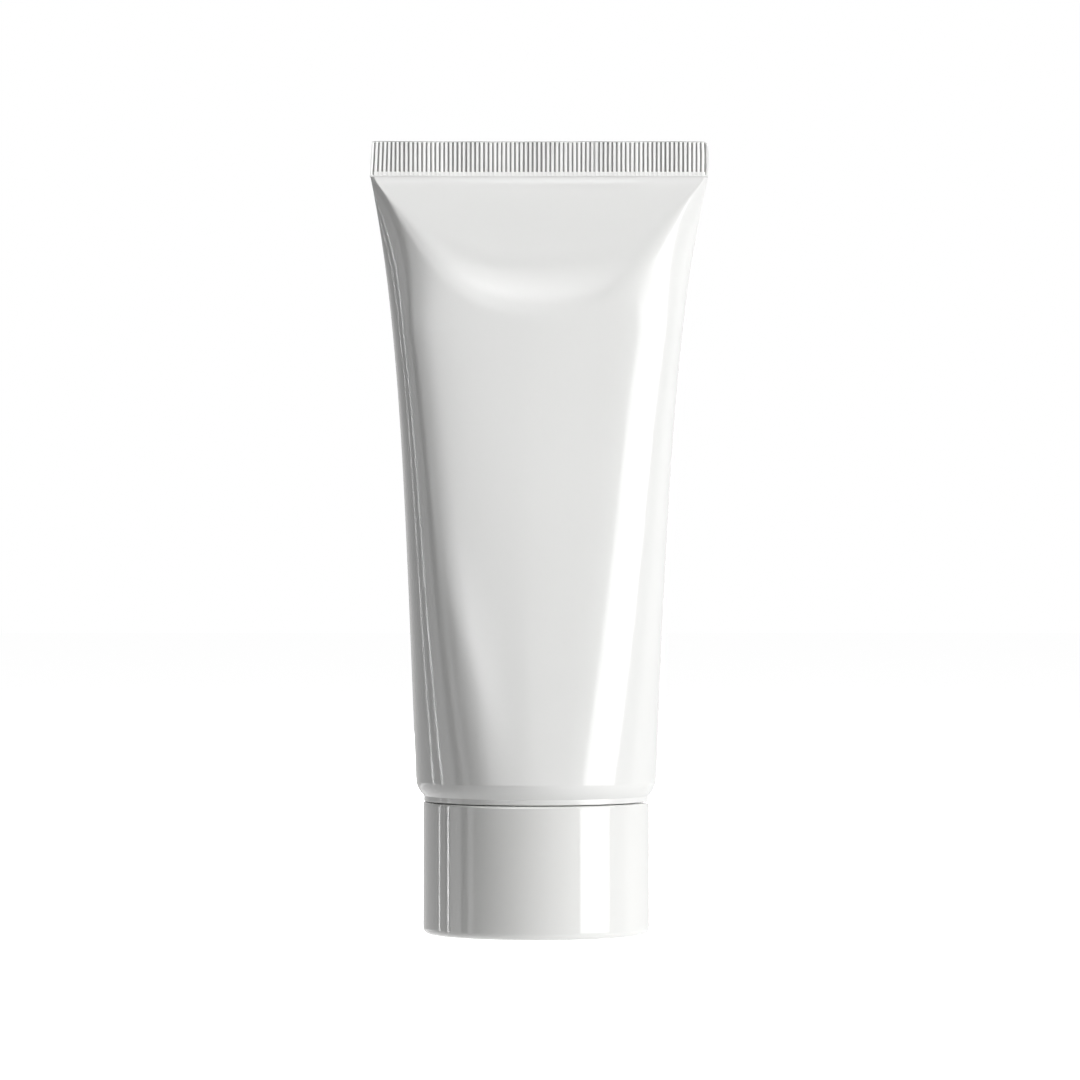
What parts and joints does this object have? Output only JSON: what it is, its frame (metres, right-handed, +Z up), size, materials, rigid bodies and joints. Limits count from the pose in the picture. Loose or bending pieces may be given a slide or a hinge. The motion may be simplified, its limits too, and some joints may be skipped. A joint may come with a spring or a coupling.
{
  "type": "shaving cream tube",
  "caption": "White squeeze tube of shaving cream with a flat crimped seal, standing upside down on a plain round screw cap.",
  "frame": {"origin": "centre of the cap's flat foot, on the surface that the tube stands on", "axes": "+Z up from the cap to the crimped seal, +X along the seal's width, and the front faces -Y"},
  "size_m": [0.0562, 0.04, 0.1314],
  "materials": {
    "sleeve_white": "glossy soft polyethylene, plain white",
    "head_white": "moulded polyethylene, satin",
    "seal_foil": "thin heat-sealed foil with a lacquered face",
    "cream": "thick white cream, soft sheen",
    "cap_gloss_white": "polished moulded polypropylene, plain white",
    "insert_white": "moulded polypropylene, satin",
    "liner_foam": "fine closed-cell polyethylene foam"
  },
  "bodies": {
    "cap": {"cap_shell": "cap_gloss_white", "cap_insert": "insert_white"},
    "liner": {"liner_disc": "liner_foam"},
    "tube": {"tube_sleeve": "sleeve_white", "tube_head": "head_white", "orifice_foil": "seal_foil", "shaving_cream": "cream"}
  },
  "joints": [
    {"name": "cap_unscrew", "type": "hinge", "parent": "cap", "child": "liner", "pos_m": [0, 0, 0], "axis": [0, 0, 1], "range_deg": [0, 1485]},
    {"name": "neck_rise", "type": "slide", "parent": "liner", "child": "tube", "axis": [0, 0, 1], "range_m": [0, 0.0131]}
  ],
  "couplings": [
    {"joint": "neck_rise", "follows": "cap_unscrew", "m_per_rad": 0.0005053}
  ]
}
